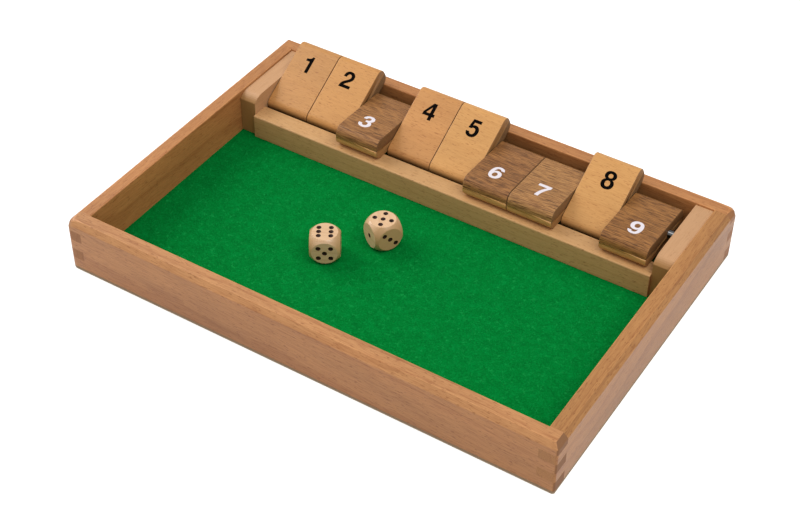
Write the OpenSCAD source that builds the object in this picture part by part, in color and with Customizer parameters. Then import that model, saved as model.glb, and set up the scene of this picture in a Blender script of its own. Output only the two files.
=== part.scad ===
// Nine-number shut the box game: a finger-jointed wooden tray with a felt floor, nine two-layer
// flaps on a steel rod, and a pair of wooden dice. Millimetres, origin under the tray's centre.

/* [Tray] */
// Outer length of the tray, left to right
box_w = 283.4; // [220:0.2:350]
// Outer depth of the tray, front to back
box_d = 195.4; // [155:0.2:250]
// Height of the four boards
box_h = 30; // [28:0.2:38]
// Thickness of the four boards
wall_t = 9.5; // [7:0.1:14]
// Width and height of the chamfer along the boards' outer top edges
top_chamfer = 2.6; // [0.5:0.1:4]
// Rounding of the tray's upright corner edges
corner_r = 1.4; // [0.2:0.1:3]
// Fingers in each corner joint, counted over the height
finger_count = 5; // [3:2:9]

/* [Floor] */
// Thickness of the plywood floor panel
base_t = 5.3; // [4:0.1:8]
// Thickness of the panel's lip, which lies under the boards
lip_t = 1.8; // [1:0.1:3]
// Clearance between the panel's thick middle and the boards
panel_gap = 0.3; // [0.1:0.05:1]
// Thickness of the felt sheet
felt_t = 1; // [0.5:0.1:2]

/* [Rail and cheeks] */
// Front to back thickness of the rail that the flaps lie on
rail_t = 10.8; // [7:0.1:14]
// Easing of the rail's front top edge
rail_ease = 0.8; // [0.2:0.1:2]
// Thickness of each cheek block
cheek_t = 10; // [8:0.1:14]
// How far the cheeks' tops lie below the boards' tops
cheek_drop = 1; // [0.5:0.1:3]
// How far the cheeks' front faces lie behind the rail's front face
cheek_back = 1.8; // [0:0.1:4]
// Radius that rounds each cheek's top down to its front face, which it meets at an edge
cheek_r = 9.7; // [8:0.1:12]
// Depth of that rounding, back from the front face
cheek_run = 7.3; // [4:0.1:7.5]

/* [Flaps] */
// Number of flaps in the row
flap_count = 9; // [6:1:12]
// How far a raised flap reaches past the back board's inner top edge
lean_over = 4.2; // [2:0.1:8]
// Thickness of the beech layer
beech_t = 6; // [4.5:0.1:7]
// Thickness of the walnut layer
walnut_t = 6; // [4.5:0.1:7]
// Rounding of the flap's ends
flap_end_r = 4.6; // [1:0.1:5]
// Distance from the pivot end to the rod's centre
pivot_len = 17.5; // [14:0.1:20]
// Gap between neighbouring flaps
flap_gap = 0.25; // [0.1:0.05:0.8]
// Gap between the left cheek and the first flap
row_start_gap = 0.3; // [0.1:0.1:2]
// Gap between the last flap and the right cheek, where the rod shows
row_end_gap = 4.2; // [0.3:0.1:8]
// Slope of a flap that leans back on the back board
up_tilt = 30.5; // [26:0.5:40]
// Slope of a flap that lies forward on the rail
down_tilt = 3.3; // [0:0.1:6]
// Clearance between a flap's face and the edge that stops it
stop_gap = 0.05; // [0.02:0.01:0.3]

/* [Rod] */
// Diameter of the steel rod
rod_d = 4; // [3:0.1:6]
// Radial running clearance between the rod and the flaps
rod_play = 0.06; // [0.01:0.01:0.1]
// Radial clearance between the rod and its holes in the cheeks
rod_seat_gap = 0.02; // [0.01:0.01:0.05]
// Depth of the rod's hole in each cheek
rod_seat = 6; // [3:0.1:7.5]
// Clearance past each end of the rod
rod_end_gap = 0.3; // [0.1:0.1:1]
// Clearance between the flaps' pivot ends and the rail as they turn
swing_gap = 1; // [0.4:0.1:3]
// Clearance between the flaps' pivot ends and the felt as they turn
floor_gap = 1.7; // [0.5:0.1:4]

/* [Dice] */
// Width of a die across its flat faces
die_size = 16; // [12:0.1:20]
// Diameter of the ball that rounds a die's corners
die_ball_d = 21; // [17:0.1:26]
// Diameter of a drilled pip
pip_d = 2.6; // [1.5:0.1:3]
// Depth of a drilled pip
pip_depth = 0.5; // [0.2:0.1:1]
// Distance between neighbouring pips along a face
pip_pitch = 3.2; // [3.1:0.1:3.8]

/* [Hidden] */
// 1 for each flap that stands up, 0 for each that lies on the rail
standing = [1, 1, 0, 1, 1, 0, 0, 1, 0];
// Where each die stands on the felt: x, y and turn about the vertical
die_left_place = [-32, -25, 31.4];
die_right_place = [-12.3, -0.5, -29.7];
// Turns that bring six pips, or five pips, to the top
six_up = [180, 0, 0];
five_up = [90, 0, 0];
// Colours
beech_colour = "#C08A62";
beech_end_colour = "#A97B55";
cheek_colour = "#D2AA84";
rail_colour = "#B98A60";
flap_beech_colour = "#D3A066";
walnut_colour = "#87603F";
felt_colour = "#00803A";
plywood_colour = "#C8AC80";
steel_colour = "#C9CCD0";
die_colour = "#E0BE98";

// How far a cutter passes a surface that it opens
eps = 0.5;
$fn = 48;

inner_w = box_w - 2 * wall_t;
inner_d = box_d - 2 * wall_t;
finger_h = box_h / finger_count;
tray_top = lip_t + box_h;
felt_top = base_t + felt_t;
back_y = box_d / 2 - wall_t;
cheek_top = tray_top - cheek_drop;

// The pivot end's sweep: from the rod's centre to the farthest point of the rounded corners
thick_side = max(beech_t, walnut_t);
corner_u = pivot_len - flap_end_r;
corner_v = thick_side - flap_end_r;
swing_r = norm([corner_u, corner_v]) + flap_end_r;

// The rod: above the felt by the sweep, and ahead of the back board so that the walnut face of a
// raised flap meets the board's inner top edge at up_tilt
rod_z = felt_top + swing_r + floor_gap;
lean_off = walnut_t + stop_gap;
rod_y = back_y - (lean_off + (tray_top - rod_z) * cos(up_tilt)) / sin(up_tilt);

// The flap's length, from its pivot end, past the edge that it leans on, to its free end
lean_reach = (back_y - rod_y) * cos(up_tilt) + (tray_top - rod_z) * sin(up_tilt);
flap_len = pivot_len + lean_reach + lean_over;

// The rail: its back face clears the sweep, and its back top edge carries the beech face of a
// lowered flap at down_tilt
rail_back_y = rod_y - swing_r - swing_gap;
rail_front_y = rail_back_y - rail_t;
lie_off = beech_t + stop_gap;
rail_top = rod_z - (lie_off - (rod_y - rail_back_y) * sin(down_tilt)) / cos(down_tilt);

// The row of flaps between the cheeks
bay_w = inner_w - 2 * cheek_t;
flap_w = (bay_w - row_start_gap - row_end_gap - (flap_count - 1) * flap_gap) / flap_count;
flap_pitch = flap_w + flap_gap;
row_x = row_start_gap - bay_w / 2;

// A rectangle about its centre with round corners
module rounded_rect(w, h, r) {
    square([w - 2 * r, h], center = true);
    square([w, h - 2 * r], center = true);
    for (x = [-1, 1], y = [-1, 1])
        translate([x * (w / 2 - r), y * (h / 2 - r)]) circle(r);
}

// Extrudes an outline drawn in depth and height along the length, from x = 0
module along_x(length) {
    rotate([90, 0, 90]) linear_extrude(length) children();
}

// The boards' outline across a width w, standing on the lip and chamfered at the top
module edged_outline(w) {
    half = w / 2;
    polygon([
        [-half, lip_t],
        [half, lip_t],
        [half, tray_top - top_chamfer],
        [half - top_chamfer, tray_top],
        [top_chamfer - half, tray_top],
        [-half, tray_top - top_chamfer],
    ]);
}

// The outer form of the four boards together
module tray_envelope() {
    intersection() {
        linear_extrude(tray_top) rounded_rect(box_w, box_d, corner_r);
        translate([-box_w / 2, 0, 0]) along_x(box_w) edged_outline(box_d);
        translate([0, box_d / 2, 0]) rotate([90, 0, 0]) linear_extrude(box_d) edged_outline(box_w);
    }
}

// Height of the middle of finger i, counted from the foot
function finger_z(i) = lip_t + (i + 0.5) * finger_h;

// A front or back board, standing at the -Y side: it keeps the odd fingers
module long_board() {
    difference() {
        translate([-box_w / 2, -box_d / 2, lip_t]) cube([box_w, wall_t, box_h]);
        for (i = [1:2:finger_count - 1], side = [-1, 1])
            translate([side * (box_w - wall_t) / 2, (wall_t - box_d) / 2, finger_z(i)])
                cube([wall_t, wall_t, finger_h], center = true);
    }
}

// A side board, standing at the -X side: it keeps the even fingers
module side_board() {
    difference() {
        translate([-box_w / 2, -box_d / 2, lip_t]) cube([wall_t, box_d, box_h]);
        for (i = [0:2:finger_count - 1], side = [-1, 1])
            translate([(wall_t - box_w) / 2, side * (box_d - wall_t) / 2, finger_z(i)])
                cube([wall_t, wall_t, finger_h], center = true);
    }
}

module frame_front() {
    color(beech_colour) intersection() {
        long_board();
        tray_envelope();
    }
}

module frame_back() {
    color(beech_colour) intersection() {
        mirror([0, 1, 0]) long_board();
        tray_envelope();
    }
}

module frame_left() {
    color(beech_end_colour) intersection() {
        side_board();
        tray_envelope();
    }
}

module frame_right() {
    color(beech_end_colour) intersection() {
        mirror([1, 0, 0]) side_board();
        tray_envelope();
    }
}

// The plywood floor: its thick middle fits between the boards, and its lip is glued under them
module base_panel() {
    color(plywood_colour) {
        linear_extrude(lip_t) rounded_rect(box_w, box_d, corner_r);
        translate([0, 0, base_t / 2])
            cube([inner_w - 2 * panel_gap, inner_d - 2 * panel_gap, base_t], center = true);
    }
}

// The felt, glued on the whole floor: the rail and the cheeks stand on it
module felt() {
    color(felt_colour) translate([-inner_w / 2, -inner_d / 2, base_t])
        cube([inner_w, inner_d, felt_t]);
}

// The rail that the lowered flaps lie on, glued between the cheeks
module front_rail() {
    rail_h = rail_top - felt_top;
    color(rail_colour) translate([-bay_w / 2, rail_front_y, felt_top]) along_x(bay_w) {
        square([rail_t, rail_h - rail_ease]);
        translate([rail_ease, 0]) square([rail_t - rail_ease, rail_h]);
        translate([rail_ease, rail_h - rail_ease]) circle(rail_ease);
    }
}

// The left cheek, from just behind the rail's front face to the back board, with the rod's
// blind hole
module cheek_block() {
    cheek_front_y = rail_front_y + cheek_back;
    cheek_d = back_y - cheek_front_y;
    cheek_h = cheek_top - felt_top;
    difference() {
        translate([-inner_w / 2, cheek_front_y, felt_top]) along_x(cheek_t) intersection() {
            square([cheek_d, cheek_h]);
            union() {
                square([cheek_d, cheek_h - cheek_r]);
                translate([cheek_run, 0]) square([cheek_d - cheek_run, cheek_h]);
                translate([cheek_run, cheek_h - cheek_r]) circle(cheek_r);
            }
        }
        translate([-bay_w / 2 - rod_seat, rod_y, rod_z]) rotate([0, 90, 0])
            cylinder(r = rod_d / 2 + rod_seat_gap, h = rod_seat + eps);
    }
}

module cheek_left() {
    color(cheek_colour) cheek_block();
}

module cheek_right() {
    color(cheek_colour) mirror([1, 0, 0]) cheek_block();
}

// The steel rod that all the flaps turn on
module pivot_rod() {
    rod_len = bay_w + 2 * (rod_seat - rod_end_gap);
    color(steel_colour) translate([-rod_len / 2, rod_y, rod_z]) rotate([0, 90, 0])
        cylinder(d = rod_d, h = rod_len);
}

// A flap's side outline about the rod's centre: the free end at +x, the beech face at +y
module flap_outline() {
    translate([flap_len / 2 - pivot_len, (beech_t - walnut_t) / 2])
        rounded_rect(flap_len, beech_t + walnut_t, flap_end_r);
}

// One layer of flap n, turned to where that flap rests: side 1 is the beech, -1 the walnut
module flap_layer(n, side) {
    rest_angle = standing[n - 1] == 1 ? up_tilt : 180 - down_tilt;
    layer_t = side > 0 ? beech_t : walnut_t;
    translate([row_x + (n - 1) * flap_pitch, rod_y, rod_z]) rotate([rest_angle, 0, 0])
        along_x(flap_w) difference() {
            intersection() {
                flap_outline();
                translate([-pivot_len, side > 0 ? 0 : -layer_t]) square([flap_len, layer_t]);
            }
            circle(rod_d / 2 + rod_play);
        }
}

module flap_beech(n) {
    color(flap_beech_colour) flap_layer(n, 1);
}

module flap_walnut(n) {
    color(walnut_colour) flap_layer(n, -1);
}

// Drills pips into the top face of a die that is centred on the origin: spots in pip steps
module drill_pips(spots) {
    for (s = spots)
        translate([s.x * pip_pitch, s.y * pip_pitch, die_size / 2 - pip_depth])
            cylinder(d = pip_d, h = pip_depth + eps);
}

// A die about its own centre with one up, two in front and three on the right; opposite faces add
// up to seven
module die_body() {
    diagonal = [[-1, -1], [1, 1]];
    corners = concat(diagonal, [[-1, 1], [1, -1]]);
    columns = [[-1, 0], [1, 0]];
    difference() {
        intersection() {
            cube(die_size, center = true);
            sphere(d = die_ball_d);
        }
        drill_pips([[0, 0]]);
        rotate([90, 0, 0]) drill_pips(diagonal);
        rotate([0, 90, 0]) drill_pips(concat([[-1, 1], [1, -1]], [[0, 0]]));
        rotate([0, -90, 0]) drill_pips(corners);
        rotate([-90, 0, 0]) drill_pips(concat(corners, [[0, 0]]));
        rotate([180, 0, 0]) drill_pips(concat(corners, columns));
    }
}

// A die on the felt at a place [x, y, turn], with the face that face_turn brings up on top
module placed_die(place, face_turn) {
    color(die_colour) translate([place.x, place.y, felt_top + die_size / 2])
        rotate([0, 0, place.z]) rotate(face_turn) die_body();
}

module die_left() {
    placed_die(die_left_place, six_up);
}

module die_right() {
    placed_die(die_right_place, five_up);
}

frame_front();
frame_back();
frame_left();
frame_right();
base_panel();
felt();
front_rail();
cheek_left();
cheek_right();
pivot_rod();
for (n = [1:flap_count]) {
    flap_beech(n);
    flap_walnut(n);
}
die_left();
die_right();
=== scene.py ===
import math

import bmesh
import bpy
from mathutils import Matrix, Vector, noise


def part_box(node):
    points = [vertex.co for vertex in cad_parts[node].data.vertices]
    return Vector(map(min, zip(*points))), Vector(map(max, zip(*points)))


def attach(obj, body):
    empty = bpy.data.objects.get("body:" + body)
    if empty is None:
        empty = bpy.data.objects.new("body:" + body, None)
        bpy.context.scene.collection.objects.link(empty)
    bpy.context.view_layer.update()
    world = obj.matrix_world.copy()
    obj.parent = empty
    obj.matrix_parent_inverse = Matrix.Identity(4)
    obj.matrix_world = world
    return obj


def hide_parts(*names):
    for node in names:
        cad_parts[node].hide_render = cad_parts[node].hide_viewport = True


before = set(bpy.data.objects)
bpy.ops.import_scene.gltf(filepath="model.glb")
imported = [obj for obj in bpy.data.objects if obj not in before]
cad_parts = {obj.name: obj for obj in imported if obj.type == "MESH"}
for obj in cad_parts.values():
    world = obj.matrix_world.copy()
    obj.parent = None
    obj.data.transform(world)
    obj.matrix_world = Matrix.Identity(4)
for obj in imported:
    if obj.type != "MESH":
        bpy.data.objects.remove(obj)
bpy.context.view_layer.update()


# ---- The table and the light ---------------------------------------------------------------
# A plain white table top between two soft boxes, with even white light from all round.
# It is painted board, and it keeps the soft shadow that the tray throws on it.

def linear(code):
    """Turns a hex sRGB colour into linear red, green, blue and alpha."""
    parts = [int(code[i:i + 2], 16) / 255 for i in (1, 3, 5)]
    return [c / 12.92 if c <= 0.04045 else ((c + 0.055) / 1.055) ** 2.4 for c in parts] + [1.0]


def add_node(tree, kind, values=None, stops=None, **settings):
    """Adds a node: settings are its properties, and stops the places and colours of a colour ramp.
    Values are its inputs: numbers, sockets to link from, or nodes whose first output is linked."""
    made = tree.nodes.new("ShaderNode" + kind)
    for name, value in settings.items():
        setattr(made, name, value)
    for socket, value in (values or {}).items():
        if isinstance(value, bpy.types.Node):
            value = value.outputs[0]
        if isinstance(value, bpy.types.NodeSocket):
            tree.links.new(value, made.inputs[socket])
        else:
            made.inputs[socket].default_value = value
    if stops:
        ramp = made.color_ramp
        while len(ramp.elements) < len(stops):
            ramp.elements.new(0.5)
        for element, (place, colour) in zip(ramp.elements, stops):
            element.position = place
            element.color = colour if len(colour) == 4 else (*colour, 1.0)
    return made


def empty_material(name):
    """A new material whose node tree holds only what is added to it."""
    material = bpy.data.materials.new(name)
    material.use_nodes = True
    material.node_tree.nodes.clear()
    return material, material.node_tree


def put_in_scene(name, data):
    """A new object at the origin that carries the data."""
    made = bpy.data.objects.new(name, data)
    bpy.context.scene.collection.objects.link(made)
    return made


def made_object(name, bm, *materials):
    """Turns a bmesh, its faces pointing outwards, into an object that carries the materials."""
    bmesh.ops.recalc_face_normals(bm, faces=bm.faces)
    mesh = bpy.data.meshes.new(name)
    bm.to_mesh(mesh)
    bm.free()
    piece = put_in_scene(name, mesh)
    for material in materials:
        piece.data.materials.append(material)
    return piece


TABLE_WHITE = "#D8D8D8"
TABLE_GLOW = 0.56
TABLE_SIZE = 8.0

# Painted white board: even and matt. What the camera sees of it is lifted to the white of the
# room behind, and the tray's shadow stays in it.
table_paint, tree = empty_material("painted_white_board")
board_white = add_node(tree, "BsdfDiffuse", {"Color": linear(TABLE_WHITE)})
seen = add_node(tree, "LightPath")
seen_or_mirrored = add_node(tree, "Math", {
    0: seen.outputs["Is Camera Ray"],
    1: seen.outputs["Is Glossy Ray"],
}, operation="MAXIMUM")
seen_any = add_node(tree, "Math", {
    0: seen_or_mirrored,
    1: seen.outputs["Is Transmission Ray"],
}, operation="MAXIMUM")
lift = add_node(tree, "Math", {0: seen_any, 1: TABLE_GLOW}, operation="MULTIPLY")
glow = add_node(tree, "Emission", {"Color": (1, 1, 1, 1), "Strength": lift})
both = add_node(tree, "AddShader", {0: board_white, 1: glow})
add_node(tree, "OutputMaterial", {"Surface": both})

bm = bmesh.new()
bmesh.ops.create_grid(bm, x_segments=1, y_segments=1, size=TABLE_SIZE / 2)
table = made_object("table", bm, table_paint)

ROOM_LIGHT = 0.54
room = bpy.data.worlds.new("white_room")
room.use_nodes = True
tree = room.node_tree
tree.nodes.clear()
seen = add_node(tree, "LightPath")
level = add_node(tree, "MapRange", {
    "Value": seen.outputs["Is Camera Ray"],
    "To Min": ROOM_LIGHT,
    "To Max": 1.0,
})
sky = add_node(tree, "Background", {"Color": (1, 1, 1, 1), "Strength": level})
add_node(tree, "OutputWorld", {"Surface": sky})
bpy.context.scene.world = room

SOFT_BOX_SIZE = (0.75, 0.75)
for name, place, watts in (
        ("left_soft_box", Vector((-0.88, 0.0, 0.6)), 7.4),
        ("right_soft_box", Vector((0.55, -0.12, 1.05)), 6.4)):
    soft_box = bpy.data.lights.new(name, "AREA")
    soft_box.shape = "RECTANGLE"
    soft_box.size, soft_box.size_y = SOFT_BOX_SIZE
    soft_box.energy = watts
    lamp = put_in_scene(name, soft_box)
    lamp.location = place
    lamp.rotation_euler = (-place).to_track_quat("-Z", "Y").to_euler()

CAMERA_PLACE = Vector((0.33108, -0.53276, 0.56399))
CAMERA_AIM = Vector((0.00823, -0.01648, 0.0118))
CAMERA_ROLL = math.radians(0.551)
CAMERA_LENS_MM = 72.577
NEAREST_SEEN = 0.02
camera = bpy.data.cameras.new("camera")
camera.lens = CAMERA_LENS_MM
camera.clip_start = NEAREST_SEEN
camera_object = put_in_scene("camera", camera)
towards = (CAMERA_AIM - CAMERA_PLACE).to_track_quat("-Z", "Y").to_matrix().to_4x4()
camera_object.matrix_world = (
    Matrix.Translation(CAMERA_PLACE) @ towards @ Matrix.Rotation(CAMERA_ROLL, 4, "Z"))
bpy.context.scene.camera = camera_object
bpy.context.scene.view_settings.view_transform = "Standard"


# ---- The four boards of the tray -----------------------------------------------------------
# Planed beech boards, finger-jointed and glued at the corners, then chamfered along the outer top
# edges, sanded and lacquered satin. They are glued down on the lip of the floor panel.

front_low, front_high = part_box("frame_front")
right_low, right_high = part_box("frame_right")
HALF_W, HALF_D = right_high.x, -front_low.y
FOOT_Z, TRAY_TOP = front_low.z, front_high.z
WALL = right_high.x - right_low.x
FINGERS = 5
FINGER_H = (TRAY_TOP - FOOT_Z) / FINGERS
TOP_CHAMFER = 0.0026
CHAMFER_SOFT = 0.0006
# How high a chamfer's normal stands, how far off it may be, and the sharpest fold at its edges.
CHAMFER_LOOKS_UP = math.sqrt(0.5)
CHAMFER_PLAY = 0.02
CHAMFER_FOLD = math.radians(70)
# The tray's upright corners were sanded by hand: their radii, from the front right one
# anticlockwise seen from above. The two rounder ones are worked to a ball on top.
CORNER_RS = [0.0014, 0.003, 0.0014, 0.0036]
CORNER_CUTS = 7
BALLED_CORNERS = (1, 3)
BALL_R = 0.0044
BALL_TILTS = (18, 36, 54, 72)
FOOT_EASE = 0.0003
SANDED_EDGE = 0.0006
FINE_ARRIS = 0.00002
NEAR = 1e-6
CUT_PLAY = 1e-8
# Painted light on the faces that look up: a paler, cooler painted sheen on the level tops and
# the chamfers, and a painted highlight on the rounded edges next to them, but not on the rest.
# Each row is how high such a face's normal stands, at the least, and a factor on its colour.
PAINTED_SHEEN_ROWS = [
    (0.98, (0.98, 1.04, 1.14, 1.0)),
    (0.8, (1.22, 1.3, 1.42, 1.0)),
    (0.3, (1.0, 1.07, 1.18, 1.0)),
    (-2.0, (1.0, 1.0, 1.0, 1.0)),
]
# End grain begins where a face looks this far along the fibres, and is full this much later.
END_GRAIN_FROM = 0.3
END_GRAIN_RUN = 0.35
# How wood grows and is finished: how many metres its fibres stray, how many rings its years
# vary by, how many times as long as wide its streaks are, how much of the end grain's colour
# shows and how much rougher that is, and how deep its flecks lie against its streaks.
FIBRES_STRAY = 0.007
YEARS_VARY = 2.5
STREAK_LONG = 16
END_SHOWS = 0.78
END_ROUGHER = 0.25
FLECK_PIT = 0.6


def apply_modifiers(piece):
    """Writes what the modifiers make into the piece's own mesh."""
    bpy.context.view_layer.update()
    view = bpy.context.evaluated_depsgraph_get()
    mesh = bpy.data.meshes.new_from_object(piece.evaluated_get(view))
    old = piece.data
    piece.modifiers.clear()
    piece.data = mesh
    bpy.data.meshes.remove(old)
    mesh.name = piece.name


def block(low, high):
    """A bmesh of a box between two corners."""
    bm = bmesh.new()
    bmesh.ops.create_cube(bm, size=1.0)
    low, high = Vector(low), Vector(high)
    bmesh.ops.scale(bm, vec=high - low, verts=bm.verts)
    bmesh.ops.translate(bm, vec=(low + high) / 2, verts=bm.verts)
    return bm


def round_edges(bm, edges, width, segments):
    """Rounds the edges over."""
    bmesh.ops.bevel(bm, geom=edges, offset=width, offset_type="OFFSET", affect="EDGES",
                    segments=segments, profile=0.5, material=-1, clamp_overlap=True)


def edges_at(bm, **places):
    """The edges whose both ends lie at the given x, y or z."""
    return [edge for edge in bm.edges if all(
        abs(getattr(v.co, axis) - value) < NEAR
        for v in edge.verts for axis, value in places.items())]


def ease(piece, arris, sharp_degrees=35):
    """Takes the keenness off every edge, and shades the roundings smooth and the faces flat."""
    softened = piece.modifiers.new("arris", "BEVEL")
    softened.width = arris
    softened.segments = 2
    softened.limit_method = "ANGLE"
    softened.angle_limit = math.radians(sharp_degrees)
    apply_modifiers(piece)
    for face in piece.data.polygons:
        face.use_smooth = True
    weighted = piece.modifiers.new("weighted", "WEIGHTED_NORMAL")
    weighted.mode = "FACE_AREA"
    apply_modifiers(piece)


def lay_grain(piece, along, across, shift, tint="#FFFFFF", ends=1.0):
    """Gives a wooden piece its own grain: metres along, across and through the log at each point,
    how far each face is end grain, times ends, and a tint of that piece of wood."""
    along = Vector(along).normalized()
    through = along.cross(Vector(across)).normalized()
    across = through.cross(along)
    shift = Vector(shift)
    mesh = piece.data
    grain = mesh.attributes.new("grain", "FLOAT_VECTOR", "POINT")
    for vertex, value in zip(mesh.vertices, grain.data):
        place = vertex.co
        value.vector = Vector((place.dot(along), place.dot(across), place.dot(through))) + shift
    end_grain = mesh.attributes.new("end_grain", "FLOAT", "FACE")
    for face, value in zip(mesh.polygons, end_grain.data):
        share = (abs(face.normal.dot(along)) - END_GRAIN_FROM) / END_GRAIN_RUN
        value.value = ends * max(0.0, min(1.0, share))
    tone = mesh.attributes.new("tint_and_painted_shading", "FLOAT_COLOR", "FACE")
    for value in tone.data:
        value.color = linear(tint)


def long_noise(tree, place, per_metre, detail, more=None):
    """An uneven pattern that is drawn out: per_metre is how often it changes along x, y and z."""
    drawn_out = add_node(tree, "Mapping", {"Vector": place, "Scale": per_metre})
    return add_node(tree, "TexNoise", {
        "Vector": drawn_out, "Scale": 1.0, "Detail": detail, **(more or {})})


def wood(name, pale, dark, fleck, end, ring_mm, ring_depth, streak_mm, streak_depth, fleck_mm,
         fleck_share, fleck_depth, tone_depth=0.05, roughness=0.42, coat=0.1, relief=0.00004):
    """A finished wood that is solid all through. The rings lie round the log's heart, which is the
    grain's zero line, the streaks are its fibres, and the flecks its rays or pores. The sizes in
    millimetres are a ring's width, a streak's width, and a fleck's length and width."""
    material, tree = empty_material(name)
    grain = add_node(tree, "Attribute", attribute_name="grain").outputs["Vector"]

    sway = long_noise(tree, grain, (9, 45, 45), 2.0)
    swayed = add_node(tree, "VectorMath", {
        0: sway.outputs["Color"],
        1: (0, FIBRES_STRAY, FIBRES_STRAY),
        2: grain,
    }, operation="MULTIPLY_ADD")
    in_rings = add_node(tree, "VectorMath", {
        0: swayed,
        1: (0, 1000 / ring_mm, 1000 / ring_mm),
    }, operation="MULTIPLY")
    from_heart = add_node(tree, "VectorMath", {0: in_rings}, operation="LENGTH").outputs["Value"]
    years = add_node(tree, "TexNoise", {"W": from_heart, "Scale": 0.45, "Detail": 1.0},
                     noise_dimensions="1D")
    uneven = add_node(tree, "Math", {0: years, 1: YEARS_VARY, 2: from_heart},
                      operation="MULTIPLY_ADD")
    ring = add_node(tree, "Math", {0: uneven}, operation="FRACT")
    late = add_node(tree, "ValToRGB", {"Fac": ring}, stops=[
        (0.0, (0.3,) * 3), (0.08, (0.0,) * 3), (0.72, (0.2,) * 3), (0.93, (1.0,) * 3)])
    ring_share = add_node(tree, "Math", {0: late, 1: ring_depth}, operation="MULTIPLY")

    fine = 1000 / streak_mm
    fibre = long_noise(tree, swayed, (fine / STREAK_LONG, fine, fine), 4.0, {"Roughness": 0.62})
    streak = add_node(tree, "MapRange", {
        "Value": fibre, "From Min": 0.42, "From Max": 0.66, "To Max": streak_depth})
    dark_share = add_node(tree, "Math", {0: ring_share, 1: streak}, operation="ADD",
                          use_clamp=True)
    body = add_node(tree, "Mix", {"Factor": dark_share, "A": linear(pale), "B": linear(dark)},
                    data_type="RGBA")

    fleck_long, fleck_wide = fleck_mm
    spots = long_noise(tree, swayed, (1000 / fleck_long, 1000 / fleck_wide, 1000 / fleck_wide), 1.0)
    flecked = add_node(tree, "MapRange", {
        "Value": spots, "From Min": 0.74 - fleck_share, "From Max": 0.82 - fleck_share})
    fleck_some = add_node(tree, "Math", {0: flecked, 1: fleck_depth}, operation="MULTIPLY")
    body = add_node(tree, "Mix", {
        "Factor": fleck_some, "A": body.outputs["Result"], "B": linear(fleck)}, data_type="RGBA")

    clouds = long_noise(tree, grain, (14, 60, 60), 2.0)
    tone = add_node(tree, "MapRange", {
        "Value": clouds, "From Min": 0.3, "From Max": 0.7,
        "To Min": 1 - tone_depth, "To Max": 1 + tone_depth})
    toned = add_node(tree, "VectorMath", {0: body.outputs["Result"], "Scale": tone},
                     operation="SCALE")

    across_end = add_node(tree, "Attribute", attribute_name="end_grain").outputs["Fac"]
    end_share = add_node(tree, "Math", {0: across_end, 1: END_SHOWS}, operation="MULTIPLY")
    ended = add_node(tree, "Mix", {"Factor": end_share, "A": toned, "B": linear(end)},
                     data_type="RGBA")
    # Each piece's tint: its plank's own colour, and on boards and tiles also painted sheen and
    # shade.
    tint = add_node(tree, "Attribute", attribute_name="tint_and_painted_shading").outputs["Color"]
    tinted = add_node(tree, "Mix", {
        "Factor": 1.0, "A": ended.outputs["Result"], "B": tint}, data_type="RGBA",
        blend_type="MULTIPLY")

    pitted = add_node(tree, "Math", {0: flecked, 1: -FLECK_PIT, 2: streak},
                      operation="MULTIPLY_ADD")
    raised = add_node(tree, "Bump", {"Height": pitted, "Distance": relief, "Strength": 1.0})
    open_ends = add_node(tree, "Math", {0: across_end, 1: END_ROUGHER, 2: roughness},
                         operation="MULTIPLY_ADD")
    shader = add_node(tree, "BsdfPrincipled", {
        "Base Color": tinted.outputs["Result"],
        "Roughness": open_ends,
        "Specular IOR Level": 0.3,
        "Coat Weight": coat,
        "Coat Roughness": 0.25,
        "Normal": raised,
    })
    add_node(tree, "OutputMaterial", {"Surface": shader})
    return material


# Beech, planed, sanded and satin lacquered: reddish tan with faint rings, fine darker fibres and
# short brown ray flecks, and a darker end grain.
frame_beech = wood(
    "lacquered_beech_boards", pale="#BF8552", dark="#9A5E34", fleck="#824822", end="#8C5E3A",
    ring_mm=6.0, ring_depth=0.34, streak_mm=0.6, streak_depth=0.5, fleck_mm=(3.0, 0.55),
    fleck_share=0.12, fleck_depth=0.55, tone_depth=0.1, roughness=0.44)


def plane_off(bm, point, normal):
    """Planes off what stands past a plane, and closes the cut."""
    cut = bmesh.ops.bisect_plane(
        bm, geom=bm.verts[:] + bm.edges[:] + bm.faces[:], dist=CUT_PLAY, plane_co=point,
        plane_no=normal, clear_outer=True)
    rim = [part for part in cut["geom_cut"] if isinstance(part, bmesh.types.BMEdge)]
    if rim:
        bmesh.ops.edgeloop_fill(bm, edges=rim)


UP = Vector((0, 0, 1))
SIDES = [(Vector((0, -1, 0)), HALF_D), (Vector((1, 0, 0)), HALF_W),
         (Vector((0, 1, 0)), HALF_D), (Vector((-1, 0, 0)), HALF_W)]


def plane_chamfer(bm):
    """Planes the whole tray's top chamfer on one board."""
    for out, reach in SIDES:
        plane_off(bm, out * reach + UP * (TRAY_TOP - TOP_CHAMFER), (out + UP).normalized())


def sand_corners(bm):
    """Sands the tray's four upright corners round on one board, two of them to a ball on top."""
    for number, (out, reach) in enumerate(SIDES):
        next_out, next_reach = SIDES[(number + 1) % len(SIDES)]
        radius = CORNER_RS[number]
        centre = out * (reach - radius) + next_out * (next_reach - radius)
        ball = out * (reach - BALL_R) + next_out * (next_reach - BALL_R) + UP * (TRAY_TOP - BALL_R)
        for cut in range(CORNER_CUTS):
            turn = math.pi / 2 * (cut + 1) / (CORNER_CUTS + 1)
            facing = out * math.cos(turn) + next_out * math.sin(turn)
            plane_off(bm, centre + facing * radius, facing)
            for degrees in BALL_TILTS if number in BALLED_CORNERS else ():
                tilt = math.radians(degrees)
                upwards = facing * math.cos(tilt) + UP * math.sin(tilt)
                plane_off(bm, ball + upwards * BALL_R, upwards)


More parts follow.
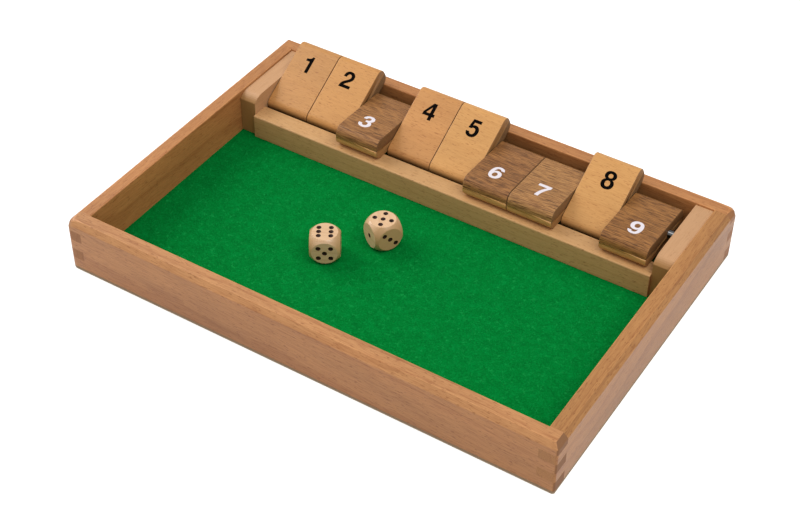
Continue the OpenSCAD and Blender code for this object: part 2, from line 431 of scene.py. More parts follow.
def chamfer_edges(bm):
    """The two long edges of each chamfer, and the short ones where chamfers meet."""
    slanted = {face for face in bm.faces
               if abs(face.normal.dot(UP) - CHAMFER_LOOKS_UP) < CHAMFER_PLAY}
    return [edge for edge in bm.edges if len(edge.link_faces) == 2
            and slanted.intersection(edge.link_faces) and edge.is_convex
            and edge.calc_face_angle() < CHAMFER_FOLD]


def foot_edges(bm):
    """The outer edges that stand on the lip."""
    return [edge for out, reach in SIDES for edge in bm.edges if all(
        abs(v.co.z - FOOT_Z) < NEAR and abs(v.co.dot(out) - reach) < NEAR for v in edge.verts)]


def comb_board(name, node, half_length, reach, turn_degrees, first_kept, grain_shift, grain_rise,
               tint, ends):
    """A board whose ends are combs: it keeps every second finger from first_kept, counted from the
    foot. Its outer face stands at reach from the tray's middle, turned about the upright. Its
    fibres climb by grain_rise, and ends is how dark its end grain is."""
    bm = bmesh.new()
    rise = []
    for finger in range(FINGERS):
        x = half_length if finger % 2 == first_kept else half_length - WALL
        rise += [(x, FOOT_Z + finger * FINGER_H), (x, FOOT_Z + (finger + 1) * FINGER_H)]
    outline = rise + [(-x, z) for x, z in reversed(rise)]
    front = bm.faces.new([bm.verts.new((x, -reach, z)) for x, z in outline])
    grown = bmesh.ops.extrude_face_region(bm, geom=[front])
    back = [part for part in grown["geom"] if isinstance(part, bmesh.types.BMVert)]
    bmesh.ops.translate(bm, verts=back, vec=(0, WALL, 0))
    for way in (-1, 1):
        bmesh.ops.bisect_plane(bm, geom=bm.verts[:] + bm.edges[:] + bm.faces[:], dist=NEAR,
                               plane_co=(way * (half_length - WALL), 0, 0), plane_no=(1, 0, 0))
    inner_top = [edge for edge in edges_at(bm, y=WALL - reach, z=TRAY_TOP)
                 if max(abs(v.co.x) for v in edge.verts) < half_length - WALL + NEAR]
    round_edges(bm, inner_top, SANDED_EDGE, 3)
    turned = Matrix.Rotation(math.radians(turn_degrees), 3, "Z")
    bmesh.ops.rotate(bm, verts=bm.verts, cent=(0, 0, 0), matrix=turned)
    bmesh.ops.recalc_face_normals(bm, faces=bm.faces)
    plane_chamfer(bm)
    bmesh.ops.recalc_face_normals(bm, faces=bm.faces)
    round_edges(bm, chamfer_edges(bm), CHAMFER_SOFT, 3)
    sand_corners(bm)
    bmesh.ops.recalc_face_normals(bm, faces=bm.faces)
    round_edges(bm, foot_edges(bm), FOOT_EASE, 3)
    board = made_object(name, bm, frame_beech)
    ease(board, FINE_ARRIS)
    along = turned @ Vector((1, 0, grain_rise))
    lay_grain(board, along, (0, 0, 1), grain_shift, tint, ends)
    # Painted sheen on the tops and chamfers, and a painted highlight on the edges beside them.
    for face, tone in zip(board.data.polygons, board.data.attributes["tint_and_painted_shading"].data):
        sheen_factors = next(factors for height, factors in PAINTED_SHEEN_ROWS if face.normal.z > height)
        tone.color = [part * factor for part, factor in zip(tone.color, sheen_factors)]
    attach(board, "tray")
    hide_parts(node)


comb_board("front_board", "frame_front", HALF_W, HALF_D, turn_degrees=0, first_kept=0,
           grain_shift=(0.3, 0.011, 0.034), grain_rise=-0.05, tint="#FFFFFF", ends=1.28)
comb_board("right_board", "frame_right", HALF_D, HALF_W, turn_degrees=90, first_kept=1,
           grain_shift=(1.7, 0.017, 0.046), grain_rise=0.03, tint="#F0EEDC", ends=0.12)
comb_board("back_board", "frame_back", HALF_W, HALF_D, turn_degrees=180, first_kept=0,
           grain_shift=(0.9, 0.022, 0.051), grain_rise=0.02, tint="#FFF8EE", ends=0.8)
comb_board("left_board", "frame_left", HALF_D, HALF_W, turn_degrees=270, first_kept=1,
           grain_shift=(2.4, 0.009, 0.039), grain_rise=0.04, tint="#F8F0E4", ends=0.6)


# ---- The floor panel -----------------------------------------------------------------------
# Birch plywood with a rebated edge: its thick middle fits between the boards, and its lip, with
# rounded corners, is glued under them. The felt covers the whole of its top.

panel_low, panel_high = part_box("base_panel")
PANEL_GAP = 0.0003
LIP_ARRIS = 0.0002
LIP_CORNER_CUTS = 8
PLY_MM = 0.9
# A face is veneer if its normal stands at least this high or low, and otherwise a sawn edge.
VENEER_FROM = 0.7

# Birch plywood, rotary cut and sanded: a pale cream face veneer with broad, soft grain along the
# tray and a few fine dark fibres, dull because it isn't lacquered.
birch_veneer, tree = empty_material("birch_plywood_face")
place = add_node(tree, "TexCoord").outputs["Object"]
figure = long_noise(tree, place, (9, 70, 70), 3.0, {"Distortion": 1.5})
fibre = long_noise(tree, place, (60, 1700, 1700), 3.0)
veneer = add_node(tree, "ValToRGB", {"Fac": figure}, stops=[
    (0.3, linear("#D8BE92")), (0.5, linear("#CBAE80")), (0.72, linear("#B99565"))])
dull = add_node(tree, "MapRange", {
    "Value": fibre, "From Min": 0.5, "From Max": 0.75, "To Max": 0.45})
veneer = add_node(tree, "Mix", {"Factor": dull, "A": veneer, "B": linear("#9A7748")},
                  data_type="RGBA").outputs["Result"]
raised = add_node(tree, "Bump", {"Height": fibre, "Distance": 0.00005, "Strength": 0.8})
bare = add_node(tree, "BsdfPrincipled", {
    "Base Color": veneer, "Roughness": 0.62, "Normal": raised})
add_node(tree, "OutputMaterial", {"Surface": bare})

# The plywood's sawn edge: thin plies in turn lighter and darker, greyer and darker than the face
# veneer, with the short dark dashes of the crossing fibres.
birch_edge, tree = empty_material("birch_plywood_edge")
place = add_node(tree, "TexCoord").outputs["Object"]
height = add_node(tree, "SeparateXYZ", {0: place}).outputs["Z"]
plies = add_node(tree, "Math", {0: height, 1: 1000 / (2 * PLY_MM)}, operation="MULTIPLY")
ply = add_node(tree, "Math", {0: plies}, operation="FRACT")
layered = add_node(tree, "ValToRGB", {"Fac": ply}, stops=[
    (0.0, linear("#B39A7C")), (0.46, linear("#B8A083")), (0.54, linear("#957D62")),
    (0.96, linear("#9A8268"))])
dashes = long_noise(tree, place, (900, 900, 2200), 2.0)
dark = add_node(tree, "MapRange", {
    "Value": dashes, "From Min": 0.5, "From Max": 0.7, "To Max": 0.5})
sawn = add_node(tree, "Mix", {"Factor": dark, "A": layered, "B": linear("#7A664F")},
                data_type="RGBA").outputs["Result"]
rough = add_node(tree, "Bump", {"Height": dashes, "Distance": 0.00008, "Strength": 0.8})
edge = add_node(tree, "BsdfPrincipled", {
    "Base Color": sawn, "Roughness": 0.75, "Specular IOR Level": 0.25, "Normal": rough})
add_node(tree, "OutputMaterial", {"Surface": edge})


def boolean(piece, other, operation):
    """Joins another form to a piece or cuts it away, and throws the other form away."""
    step = piece.modifiers.new("boolean", "BOOLEAN")
    step.operation = operation
    step.solver = "EXACT"
    step.object = other
    apply_modifiers(piece)
    bpy.data.objects.remove(other)


lip = block(panel_low, (panel_high.x, panel_high.y, FOOT_Z))
for (way_x, way_y), radius in zip([(1, -1), (1, 1), (-1, 1), (-1, -1)], CORNER_RS):
    round_edges(lip, edges_at(lip, x=way_x * HALF_W, y=way_y * HALF_D), radius, LIP_CORNER_CUTS)
floor_panel = made_object("floor_panel", lip, birch_veneer, birch_edge)
inside = Vector((HALF_W - WALL - PANEL_GAP, HALF_D - WALL - PANEL_GAP, panel_high.z))
middle = block((-inside.x, -inside.y, FOOT_Z / 2), inside)
boolean(floor_panel, made_object("panel_middle", middle), "UNION")
ease(floor_panel, LIP_ARRIS)
for face in floor_panel.data.polygons:
    face.material_index = 0 if abs(face.normal.z) > VENEER_FROM else 1
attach(floor_panel, "tray")
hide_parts("base_panel")


# ---- The felt ------------------------------------------------------------------------------
# One sheet of wool felt, glued flat on the whole floor panel before the rail and the cheeks were
# set on it. It is cut to the tray's inside, and its cut edges turn down against the boards.

felt_low, felt_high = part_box("felt")
FELT_STEP = 0.0016
FELT_UNEVEN = 0.0001
FELT_WAVES_PER_METRE = 140
FELT_EDGE_DROP = 0.0003
FELT_FOLD = math.radians(50)
FIBRE_BEND = 0.0022
DARK_FIBRES_SHOW = 0.4
LIGHT_FIBRES_SHOW = 0.42

# Wool felt, pressed and dyed: matt deep green with fine tangled fibres that lie lighter and
# darker, soft uneven patches, and a few loose pale fibres on top. The fibres are drawn about
# 0.25 mm thick so that they show.
felt_green, tree = empty_material("wool_felt")
place = add_node(tree, "TexCoord").outputs["Object"]
wander = add_node(tree, "TexNoise", {"Vector": place, "Scale": 420.0, "Detail": 2.0})
bent = add_node(tree, "VectorMath", {
    0: wander.outputs["Color"], 1: (FIBRE_BEND,) * 3, 2: place}, operation="MULTIPLY_ADD")


def fibres(per_metre, width):
    """Thin curved lines: where a noise crosses its middle value, within width of it."""
    field = add_node(tree, "TexNoise", {"Vector": bent, "Scale": per_metre, "Detail": 1.0})
    centred = add_node(tree, "Math", {0: field, 1: 0.5}, operation="SUBTRACT")
    away = add_node(tree, "Math", {0: centred}, operation="ABSOLUTE")
    return add_node(tree, "MapRange", {
        "Value": away, "From Max": width, "To Min": 1.0, "To Max": 0.0})


light_fibres = fibres(per_metre=620.0, width=0.05)
dark_fibres = fibres(per_metre=700.0, width=0.07)
patches = add_node(tree, "TexNoise", {"Vector": place, "Scale": 210.0, "Detail": 4.0,
                                      "Roughness": 0.62})
nap = add_node(tree, "ValToRGB", {"Fac": patches}, stops=[
    (0.3, linear("#006D2A")), (0.5, linear("#00752D")), (0.7, linear("#007D33"))])
dark_share = add_node(tree, "Math", {0: dark_fibres, 1: DARK_FIBRES_SHOW}, operation="MULTIPLY")
nap = add_node(tree, "Mix", {"Factor": dark_share, "A": nap, "B": linear("#00501A")},
               data_type="RGBA").outputs["Result"]
light_share = add_node(tree, "Math", {0: light_fibres, 1: LIGHT_FIBRES_SHOW}, operation="MULTIPLY")
nap = add_node(tree, "Mix", {"Factor": light_share, "A": nap, "B": linear("#0F9444")},
               data_type="RGBA").outputs["Result"]
loose = fibres(per_metre=300.0, width=0.035)
here_and_there = add_node(tree, "TexNoise", {"Vector": place, "Scale": 330.0, "Detail": 1.0})
some = add_node(tree, "MapRange", {
    "Value": here_and_there, "From Min": 0.5, "From Max": 0.62, "To Max": 0.42})
loose_share = add_node(tree, "Math", {0: loose, 1: some}, operation="MULTIPLY")
nap = add_node(tree, "Mix", {"Factor": loose_share, "A": nap, "B": linear("#1FA04F")},
               data_type="RGBA").outputs["Result"]
pile = add_node(tree, "Math", {0: light_fibres, 1: dark_fibres}, operation="SUBTRACT")
pile_bump = add_node(tree, "Bump", {"Height": pile, "Distance": 0.00012, "Strength": 0.7})
woolly = add_node(tree, "BsdfPrincipled", {
    "Base Color": nap,
    "Roughness": 0.95,
    "Specular IOR Level": 0.02,
    "Sheen Weight": 0.06,
    "Sheen Roughness": 0.6,
    "Sheen Tint": linear("#2FA45C"),
    "Normal": pile_bump,
})
add_node(tree, "OutputMaterial", {"Surface": woolly})

bm = bmesh.new()
felt_size = felt_high - felt_low
bmesh.ops.create_grid(bm, x_segments=round(felt_size.x / FELT_STEP),
                      y_segments=round(felt_size.y / FELT_STEP), size=0.5)
bmesh.ops.scale(bm, verts=bm.verts, vec=(felt_size.x, felt_size.y, 1))
bmesh.ops.translate(bm, verts=bm.verts, vec=(felt_low + felt_high) / 2)
for vertex in bm.verts:
    uneven = noise.noise(vertex.co * FELT_WAVES_PER_METRE) * FELT_UNEVEN
    drop = FELT_EDGE_DROP if vertex.is_boundary else 0
    vertex.co.z = felt_high.z - FELT_UNEVEN + uneven - drop
grown = bmesh.ops.extrude_face_region(bm, geom=bm.faces[:])
under = [part for part in grown["geom"] if isinstance(part, bmesh.types.BMVert)]
for vertex in under:
    vertex.co.z = felt_low.z
felt = made_object("felt_sheet", bm, felt_green)
for face in felt.data.polygons:
    face.use_smooth = True
felt.data.set_sharp_from_angle(angle=FELT_FOLD)
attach(felt, "tray")
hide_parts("felt")


# ---- The rail ------------------------------------------------------------------------------
# A square beech strip, glued on the felt between the cheeks. Lowered flaps lie on its back top
# edge, and its front top edge is eased by hand.

rail_low, rail_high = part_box("front_rail")
RAIL_EASE = 0.0008
RAIL_ARRIS = 0.0002

# Beech strip, planed and lacquered: paler and yellower than the boards, with its fine fibres
# running the length of the rail.
rail_beech = wood(
    "lacquered_beech_rail", pale="#C79A68", dark="#AA7C46", fleck="#885630", end="#95693E",
    ring_mm=5.0, ring_depth=0.24, streak_mm=0.5, streak_depth=0.4, fleck_mm=(2.8, 0.5),
    fleck_share=0.11, fleck_depth=0.6)

bm = block(rail_low, rail_high)
round_edges(bm, edges_at(bm, y=rail_low.y, z=rail_high.z), RAIL_EASE, 4)
rail = made_object("rail_strip", bm, rail_beech)
ease(rail, RAIL_ARRIS)
lay_grain(rail, along=(1, 0, 0), across=(0, 0, 1), shift=(0.2, 0.013, 0.03))
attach(rail, "tray")
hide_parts("front_rail")


# ---- The cheeks ----------------------------------------------------------------------------
# Two beech blocks glued against the side boards at the ends of the row of flaps. Each one's top
# rounds down to its front face, and a blind hole holds an end of the rod.

cheek_low, cheek_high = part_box("cheek_left")
rod_low, rod_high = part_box("pivot_rod")
ROD_R = (rod_high.z - rod_low.z) / 2
ROD_Y = (rod_low.y + rod_high.y) / 2
ROD_Z = (rod_low.z + rod_high.z) / 2
# The front face cuts the top's rounding off after CHEEK_RUN, short of a full quarter.
CHEEK_R = 0.0097
CHEEK_RUN = 0.0073
CHEEK_CUTS = 14
CHEEK_ARRIS = 0.00025
ROD_SEAT = 0.006
ROD_SEAT_GAP = 0.00002

# Beech block, sawn, sanded and lacquered: pale on its top, with small brown flecks and the grain
# running from front to back, so that its front is dark end grain.
cheek_beech = wood(
    "lacquered_beech_cheeks", pale="#C6986E", dark="#AC7C50", fleck="#94643E", end="#946830",
    ring_mm=6.5, ring_depth=0.15, streak_mm=0.5, streak_depth=0.28, fleck_mm=(2.0, 0.45),
    fleck_share=0.08, fleck_depth=0.4, coat=0.15)


def round_bar(radius, length, middle, segments=48):
    """A bmesh of a round bar that lies along x about its middle."""
    bm = bmesh.new()
    bmesh.ops.create_cone(bm, cap_ends=True, segments=segments, radius1=radius, radius2=radius,
                          depth=length)
    bmesh.ops.rotate(bm, verts=bm.verts, cent=(0, 0, 0),
                     matrix=Matrix.Rotation(math.radians(90), 3, "Y"))
    bmesh.ops.translate(bm, verts=bm.verts, vec=middle)
    return bm


def cheek(name, node, side, grain_shift):
    """A cheek on the -X side for side -1, and its mirror image on the +X side for side 1."""
    uncut = cheek_low.y + CHEEK_RUN - CHEEK_R
    bm = block((cheek_low.x, uncut, cheek_low.z), cheek_high)
    round_edges(bm, edges_at(bm, y=uncut, z=cheek_high.z), CHEEK_R, CHEEK_CUTS)
    plane_off(bm, cheek_low, (0, -1, 0))
    if side > 0:
        bmesh.ops.scale(bm, verts=bm.verts, vec=(-1, 1, 1))
    piece = made_object(name, bm, cheek_beech)
    inner_face = side * abs(cheek_high.x)
    seat = round_bar(ROD_R + ROD_SEAT_GAP, 2 * ROD_SEAT, (inner_face, ROD_Y, ROD_Z))
    boolean(piece, made_object("rod_seat", seat), "DIFFERENCE")
    ease(piece, CHEEK_ARRIS)
    lay_grain(piece, along=(0, 1, 0), across=(0, 0, 1), shift=grain_shift)
    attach(piece, "tray")
    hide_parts(node)


cheek("left_cheek", "cheek_left", side=-1, grain_shift=(0.4, 0.02, 0.03))
cheek("right_cheek", "cheek_right", side=1, grain_shift=(1.1, 0.012, 0.041))


# ---- The rod -------------------------------------------------------------------------------
# A length of 4 mm steel rod. All nine flaps turn on it, and its ends, lightly chamfered, sit in
# the cheeks.

ROD_CHAMFER = 0.0004
ROD_FOLD = math.radians(35)

# Bright drawn steel: grey metal that mirrors softly, with faint lines drawn along its length.
drawn_steel, tree = empty_material("bright_drawn_steel")
place = add_node(tree, "TexCoord").outputs["Object"]
lines = long_noise(tree, place, (15, 9000, 9000), 2.0)
dullness = add_node(tree, "MapRange", {
    "Value": lines, "From Min": 0.3, "From Max": 0.7, "To Min": 0.1, "To Max": 0.2})
scored = add_node(tree, "Bump", {"Height": lines, "Distance": 0.00001, "Strength": 0.5})
steel = add_node(tree, "BsdfPrincipled", {
    "Base Color": linear("#767676"), "Metallic": 1.0, "Roughness": dullness, "Normal": scored})
add_node(tree, "OutputMaterial", {"Surface": steel})

bm = round_bar(ROD_R, rod_high.x - rod_low.x, (0, ROD_Y, ROD_Z))
round_edges(bm, edges_at(bm, x=rod_low.x) + edges_at(bm, x=rod_high.x), ROD_CHAMFER, 2)
rod = made_object("steel_rod", bm, drawn_steel)
for face in rod.data.polygons:
    face.use_smooth = True
rod.data.set_sharp_from_angle(angle=ROD_FOLD)
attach(rod, "tray")
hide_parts("pivot_rod")


# ---- The flaps -----------------------------------------------------------------------------
# Nine tiles, each a beech layer glued to a walnut layer with the grain running across the tile.
# Both ends are rounded over, the sides are only eased, and a bore along the glue line takes the
# rod. A raised tile leans on the back board, and a lowered one lies forward on the rail.

FLAP_LONG = 0.04423
FLAP_PIVOT = 0.0175
LAYER_T = 0.006
FLAP_END_R = 0.0046
FLAP_END_CUTS = 10
FLAP_SIDE_R = 0.0004
FLAP_ARRIS = 0.00007
FLAP_BORE_R = 0.00206
UP_TILT = math.radians(30.5)
DOWN_TILT = math.radians(3.3)
FLAP_NUMBERS = range(1, 10)
# How much painted shade darkens the round of the pivot end, down behind the rail, at its darkest,
# and how far round the end the dark starts.
PIVOT_END_SHADE = 0.62
PIVOT_SHADE_START = 0.5
# How each tile's wood lies in its log: its fibres' lean and its place across the log, both
# scattered by a sine, its step along the log, and its distance from the heart.
FIBRE_LEAN, LEAN_SCATTER = 0.02, 2.3
LOG_ACROSS, ACROSS_SCATTER = 0.012, 1.7
LOG_STEP = 0.31
HEART_GAP, HEART_STEP, HEART_STEPS = 0.03, 0.0045, 4

# Beech, planed, rounded and satin lacquered: warm honey with a silky face, fine fibres across the
# tile and small reddish ray flecks.
flap_beech = wood(
    "lacquered_beech_tiles", pale="#CE985A", dark="#AC743C", fleck="#98582A", end="#8A6238",
    ring_mm=7.0, ring_depth=0.16, streak_mm=0.5, streak_depth=0.3, fleck_mm=(3.0, 0.42),
    fleck_share=0.115, fleck_depth=0.6, coat=0.12)

# Black walnut, planed, rounded and satin lacquered: warm brown with dark brown streaks and rings
# and long, fine, nearly black pores.
flap_walnut = wood(
    "lacquered_walnut_tiles", pale="#B3824E", dark="#62391C", fleck="#381E0E", end="#765838",
    ring_mm=4.6, ring_depth=0.22, streak_mm=0.42, streak_depth=0.8, fleck_mm=(7.0, 0.38),
    fleck_share=0.165, fleck_depth=0.75, tone_depth=0.1, roughness=0.45, coat=0.12,
    relief=0.00002)

first_low, first_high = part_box("flap_1_beech")
FLAP_W = first_high.x - first_low.x


def tile_layer(side, material):
    """One layer of a tile in its own frame: x across, y from the rod's centre to the free end, and
    z from the glue line, up for the beech (side 1) and down for the walnut (side -1)."""
    near_end, free_end = -FLAP_PIVOT, FLAP_LONG - FLAP_PIVOT
    face = side * LAYER_T
    bm = block((0, near_end, min(0, face)), (FLAP_W, free_end, max(0, face)))
    round_edges(bm, edges_at(bm, y=near_end, z=face) + edges_at(bm, y=free_end, z=face),
                FLAP_END_R, FLAP_END_CUTS)
    outline = [edge for x in (0, FLAP_W) for edge in edges_at(bm, x=x)
               if max(abs(v.co.z) for v in edge.verts) > NEAR]
    round_edges(bm, outline, FLAP_SIDE_R, 3)
    layer = made_object("tile_layer", bm, material)
    bore = round_bar(FLAP_BORE_R, 3 * FLAP_W, (0, 0, 0), segments=40)
    boolean(layer, made_object("bore", bore), "DIFFERENCE")
    ease(layer, FLAP_ARRIS)
    return layer


def tile_place(number):
    """Where a tile's own frame lies: at its left side on the rod, raised or lowered."""
    low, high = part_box(f"flap_{number}_beech")
    tilt = UP_TILT if high.z > TRAY_TOP + LAYER_T else math.pi - DOWN_TILT
    return Matrix.Translation((low.x, ROD_Y, ROD_Z)) @ Matrix.Rotation(tilt, 4, "X")


# The tiles that came from a darker or greyer plank than the others.
BEECH_TINTS = {1: "#F0EAE6", 2: "#F8F2EA", 4: "#F8F0F0"}
WALNUT_TINTS = {3: "#F0E8E0", 6: "#EAE0D8", 9: "#E8DCC6"}
for side, wood_name, slot_name, made_of, tints in (
        (1, "beech", "flap_beech", flap_beech, BEECH_TINTS),
        (-1, "walnut", "flap_walnut", flap_walnut, WALNUT_TINTS)):
    pattern = tile_layer(side, made_of)
    for number in FLAP_NUMBERS:
        tile = put_in_scene(f"tile_{number}_{wood_name}", pattern.data.copy())
        lean = FIBRE_LEAN * math.sin(number * LEAN_SCATTER)
        across_log = LOG_ACROSS * math.sin(number * ACROSS_SCATTER)
        from_heart = HEART_GAP + HEART_STEP * (number % HEART_STEPS)
        lay_grain(tile, (1, lean, 0), (0, 1, 0), (LOG_STEP * number, across_log, from_heart),
                  tints.get(number, "#FFFFFF"))
        # Painted shade: the round of the pivot end, down in the dark gap behind the rail, is
        # darkened.
        for face, tone in zip(tile.data.polygons, tile.data.attributes["tint_and_painted_shading"].data):
            turned = max(0.0, -face.normal.y - PIVOT_SHADE_START) / (1 - PIVOT_SHADE_START)
            kept = 1 - PIVOT_END_SHADE * turned
            tone.color = [part * kept for part in tone.color]
        tile.data.transform(tile_place(number))
        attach(tile, f"flap_{number}")
        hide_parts(f"flap_{number}_{wood_name}")
    bpy.data.objects.remove(pattern)


# ---- The numerals --------------------------------------------------------------------------
# Plain bold figures printed on both faces of every tile, black on the beech and white on the
# walnut. The ink lies on the lacquer as a film that is just thick enough to catch the light.

# Each figure's outlines in thousandths of the type size: M starts one, L is a straight line and
# C a curve with its two handles. The nine is the six upside down.
FIGURES = {
    1: ["M 236 0 L 378 0 L 378 710 L 283 710 C 272 634 210 595 69 593 L 69 483 L 236 483"],
    2: ["M 26 0 L 511 0 L 511 127 L 197 127 C 215 158 245 190 344 259 C 466 344 505 400 505 495 "
        "C 505 622 405 710 265 710 C 122 710 36 620 36 468 L 36 455 L 172 455 L 172 468 "
        "C 174 548 207 592 267 592 C 325 592 359 552 359 489 C 359 430 330 396 222 322 "
        "C 78 226 38 160 26 0"],
    3: ["M 27 206 C 31 62 119 -19 271 -19 C 418 -19 516 66 516 197 C 516 281 477 342 403 370 "
        "C 463 400 495 448 495 512 C 495 633 408 710 267 710 C 128 710 47 630 41 491 "
        "L 177 491 C 180 555 212 592 267 592 C 320 592 352 561 352 509 C 352 447 310 421 208 421 "
        "L 208 321 C 220 323 232 324 246 324 C 325 324 370 281 370 209 C 370 141 330 99 268 99 "
        "C 205 99 170 138 165 206"],
    4: ["M 443 0 L 443 161 L 526 161 L 526 281 L 443 281 L 443 710 L 287 710 L 27 285 L 27 161 "
        "L 303 161 L 303 0",
        "M 303 281 L 144 281 L 303 543"],
    5: ["M 475 698 L 120 698 L 56 319 L 181 319 C 203 349 230 362 268 362 "
        "C 331 362 370 314 370 233 C 370 154 331 99 267 99 C 211 99 178 130 166 188 L 27 188 "
        "C 35 60 127 -19 264 -19 C 415 -19 516 84 516 239 C 516 385 427 480 299 480 "
        "C 250 480 217 466 192 444 L 213 575 L 475 575"],
    6: ["M 505 524 C 492 640 402 710 279 710 C 122 710 31 570 31 331 C 31 103 122 -19 280 -19 "
        "C 424 -19 520 81 520 227 C 520 365 428 461 300 461 C 239 461 198 439 168 391 "
        "C 170 529 213 594 281 594 C 328 594 359 569 369 524",
        "M 278 345 C 336 345 374 299 374 224 C 374 149 337 99 277 99 C 218 99 180 150 180 224 "
        "C 180 298 218 345 278 345"],
    7: ["M 528 698 L 25 698 L 25 566 L 382 566 C 250 410 165 220 155 0 L 300 0 "
        "C 304 199 376 391 528 577"],
    8: ["M 278 710 C 415 710 506 631 506 515 C 506 450 472 402 412 376 C 483 343 524 281 524 203 "
        "C 524 72 423 -19 278 -19 C 133 -19 32 72 32 203 C 32 282 73 343 144 376 "
        "C 84 402 50 450 50 515 C 50 631 141 710 278 710",
        "M 278 600 C 223 600 190 566 190 514 C 190 462 223 429 278 429 C 333 429 366 462 366 514 "
        "C 366 566 333 600 278 600",
        "M 278 326 C 217 326 178 284 178 214 C 178 144 217 96 278 96 C 339 96 378 144 378 214 "
        "C 378 284 339 326 278 326"],
}
FIGURE_MIDDLE = Vector((-278, -355, 0))
FIGURE_TALL = 710
SIX_MIDDLE = Vector((276, 345.5, 0))
INK_THICK = 0.00005
INK_PROUD = 0.00003
CURVE_STEPS = 10
# How tall each ink's figures are, and how far their middle stands from the rod.
BLACK_TALL, BLACK_ALONG = 0.0103, 0.0132
WHITE_TALL, WHITE_ALONG = 0.0105, 0.01265
# How far from each tile's left side its figure stands: they were printed one by one by hand.
FIGURE_ACROSS = [0.0118, 0.0115, 0.0111, 0.0119, 0.0128, 0.0122, 0.0125, 0.0137, 0.0134]


def printing_ink(name, colour, worn):
    """Screen printing ink: opaque and dull, and a little thin where the fibres stand up."""
    material, tree = empty_material(name)
    place = add_node(tree, "TexCoord").outputs["Object"]
    thin = long_noise(tree, place, (500, 2600, 2600), 2.0)
    share = add_node(tree, "MapRange", {
        "Value": thin, "From Min": 0.55, "From Max": 0.8, "To Max": 0.5})
    shade = add_node(tree, "Mix", {"Factor": share, "A": linear(colour), "B": linear(worn)},
                     data_type="RGBA").outputs["Result"]
    film = add_node(tree, "Bump", {"Height": thin, "Distance": 0.00002, "Strength": 0.6})
    shader = add_node(tree, "BsdfPrincipled", {
        "Base Color": shade, "Roughness": 0.8, "Specular IOR Level": 0.04, "Normal": film})
    add_node(tree, "OutputMaterial", {"Surface": shader})
    return material


black_ink = printing_ink("black_printing_ink", "#060403", "#120D09")
white_ink = printing_ink("white_printing_ink", "#DFD8DE", "#C0B0A4")


def add_outline(curve, path):
    """Adds one closed outline to a flat curve."""
    words = path.split()
    knots = []
    while words:
        kind = words.pop(0)
        count = 3 if kind == "C" else 1
        points = [Vector((float(words.pop(0)), float(words.pop(0)), 0)) for _ in range(count)]
        if kind == "C":
            knots[-1][2] = points[0]
            knots.append([points[1], points[2], points[2]])
        else:
            knots.append([points[0]] * 3)
    if knots[-1][1] == knots[0][1]:
        knots[0][0] = knots.pop()[0]
    spline = curve.splines.new("BEZIER")
    spline.bezier_points.add(len(knots) - 1)
    for knot, (before, middle, after) in zip(spline.bezier_points, knots):
        knot.handle_left_type = "FREE"
        knot.handle_right_type = "FREE"
        knot.co = middle
        knot.handle_left = before
        knot.handle_right = after
    spline.use_cyclic_u = True


def figure_mesh(number, tall):
    """A figure as a thin plate of ink, tall metres high, about its own middle."""
    curve = bpy.data.curves.new("figure", "CURVE")
    curve.dimensions = "2D"
    curve.fill_mode = "BOTH"
    curve.resolution_u = CURVE_STEPS
    for path in FIGURES[6 if number == 9 else number]:
        add_outline(curve, path)
    scale = tall / FIGURE_TALL
    curve.extrude = INK_THICK / 2 / scale
    drawn_figure = put_in_scene("figure", curve)
    bpy.context.view_layer.update()
    mesh = bpy.data.meshes.new_from_object(
        drawn_figure.evaluated_get(bpy.context.evaluated_depsgraph_get()))
    bpy.data.objects.remove(drawn_figure)
    if number == 9:
        mesh.transform(Matrix.Translation(SIX_MIDDLE) @ Matrix.Rotation(math.pi, 4, "Z")
                       @ Matrix.Translation(-SIX_MIDDLE))
    mesh.transform(Matrix.Scale(scale, 4) @ Matrix.Translation(FIGURE_MIDDLE))
    return mesh


def print_figure(number, name, tall, along, turn, ink):
    """Prints a tile's figure on one face: along is the figure's place from the rod, and turn is
    half a turn about x for the walnut face."""
    figure = put_in_scene(f"figure_{number}_{name}", figure_mesh(number, tall))
    lift = LAYER_T + INK_PROUD - INK_THICK / 2
    on_face = Matrix.Rotation(turn, 4, "X") @ Matrix.Translation((0, 0, lift))
    spot = Matrix.Translation((FIGURE_ACROSS[number - 1], along, 0))
    figure.data.transform(tile_place(number) @ spot @ on_face)
    figure.data.materials.clear()
    figure.data.materials.append(ink)
    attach(figure, f"flap_{number}")


for number in FLAP_NUMBERS:
    print_figure(number, "black", BLACK_TALL, BLACK_ALONG, 0.0, black_ink)
    print_figure(number, "white", WHITE_TALL, WHITE_ALONG, math.pi, white_ink)


# ---- The dice ------------------------------------------------------------------------------
# Two solid wooden dice. Each is a cube whose corners were tumbled to a ball's roundness, with
# shallow dished pips that are painted black. Opposite faces add up to seven.

DIE_HALF = 0.008
DIE_BALL_R = 0.0105
PIP_WIDE = 0.0026
PIP_DEEP = 0.0005
PIP_STEP = 0.0032
PIP_BALL_R = (PIP_WIDE ** 2 / 4 + PIP_DEEP ** 2) / (2 * PIP_DEEP)
PIP_CENTRE = DIE_HALF - PIP_DEEP + PIP_BALL_R
PIP_PLAY = 0.00002
DIE_ARRIS = 0.00015
DIE_FOLD_DEGREES = 30
# The cuts leave points closer than this, which are merged.
DIE_CRUMBS = 0.00008
DIE_FIBRES = (1, 0.1, 0.05)

# Beech, tumbled smooth and waxed: pale and warm with a soft gloss, faint rings and few flecks.
die_beech = wood(
    "waxed_beech_dice", pale="#DDB78F", dark="#C09468", fleck="#A67648", end="#B8905E",
    ring_mm=2.6, ring_depth=0.3, streak_mm=0.5, streak_depth=0.3, fleck_mm=(1.2, 0.3),
    fleck_share=0.05, fleck_depth=0.4, roughness=0.3, coat=0.4, relief=0.00002)

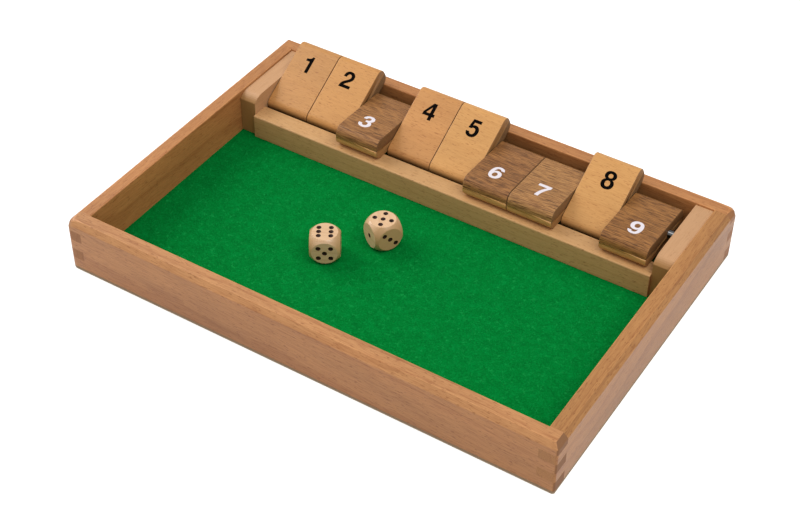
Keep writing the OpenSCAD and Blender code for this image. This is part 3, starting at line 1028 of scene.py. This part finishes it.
# Brown-black enamel, brushed into the pips: half matt, slightly uneven and cloudy.
pip_enamel, tree = empty_material("black_pip_enamel")
place = add_node(tree, "TexCoord").outputs["Object"]
pooled = add_node(tree, "TexNoise", {"Vector": place, "Scale": 900.0, "Detail": 2.0})
enamel = add_node(tree, "ValToRGB", {"Fac": pooled}, stops=[
    (0.35, linear("#1C0D08")), (0.7, linear("#3A1E14"))])
brushed = add_node(tree, "Bump", {"Height": pooled, "Distance": 0.00004, "Strength": 0.5})
half_matt = add_node(tree, "BsdfPrincipled", {
    "Base Color": enamel, "Roughness": 0.5, "Specular IOR Level": 0.15, "Normal": brushed})
add_node(tree, "OutputMaterial", {"Surface": half_matt})

DIAGONAL = [(-1, -1), (1, 1)]
OTHER_DIAGONAL = [(-1, 1), (1, -1)]
CORNERS = DIAGONAL + OTHER_DIAGONAL
# The turn that brings each face's pips round from the top, and the pips' places in steps.
DIE_FACES = [
    (("X", 0), [(0, 0)]),
    (("X", 90), DIAGONAL),
    (("Y", 90), OTHER_DIAGONAL + [(0, 0)]),
    (("Y", -90), CORNERS),
    (("X", -90), CORNERS + [(0, 0)]),
    (("X", 180), CORNERS + [(-1, 0), (1, 0)]),
]


def die(name, node, turn_degrees, face_turn_degrees, grain_shift):
    """A die where its node lies: face_turn brings a face up, and turn spins the die round."""
    low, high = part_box(node)
    bm = bmesh.new()
    bmesh.ops.create_icosphere(bm, subdivisions=5, radius=DIE_BALL_R)
    for axis in ((1, 0, 0), (0, 1, 0), (0, 0, 1)):
        for way in (1, -1):
            facing = Vector(axis) * way
            plane_off(bm, facing * DIE_HALF, facing)
    bmesh.ops.remove_doubles(bm, verts=bm.verts, dist=DIE_CRUMBS)
    piece = made_object(name, bm, die_beech, pip_enamel)
    drill = bmesh.new()
    centres = []
    for (axis, degrees), spots in DIE_FACES:
        face_up = Matrix.Rotation(math.radians(degrees), 3, axis)
        for x, y in spots:
            centre = face_up @ Vector((x * PIP_STEP, y * PIP_STEP, PIP_CENTRE))
            centres.append(centre)
            bmesh.ops.create_icosphere(drill, subdivisions=4, radius=PIP_BALL_R,
                                       matrix=Matrix.Translation(centre))
    boolean(piece, made_object("pip_drill", drill), "DIFFERENCE")
    ease(piece, DIE_ARRIS, DIE_FOLD_DEGREES)
    points = piece.data.vertices
    for face in piece.data.polygons:
        centre = min(centres, key=lambda spot: (face.center - spot).length)
        if all((points[i].co - centre).length < PIP_BALL_R + PIP_PLAY for i in face.vertices):
            face.material_index = 1
    lay_grain(piece, DIE_FIBRES, (0, 1, 0), grain_shift)
    placed = (Matrix.Translation((low + high) / 2)
              @ Matrix.Rotation(math.radians(turn_degrees), 4, "Z")
              @ Matrix.Rotation(math.radians(face_turn_degrees), 4, "X"))
    piece.data.transform(placed)
    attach(piece, node)
    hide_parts(node)


die("left_die", "die_left", turn_degrees=31.4, face_turn_degrees=180,
    grain_shift=(0.1, 0.012, 0.02))
die("right_die", "die_right", turn_degrees=-29.7, face_turn_degrees=90,
    grain_shift=(0.4, 0.02, 0.011))
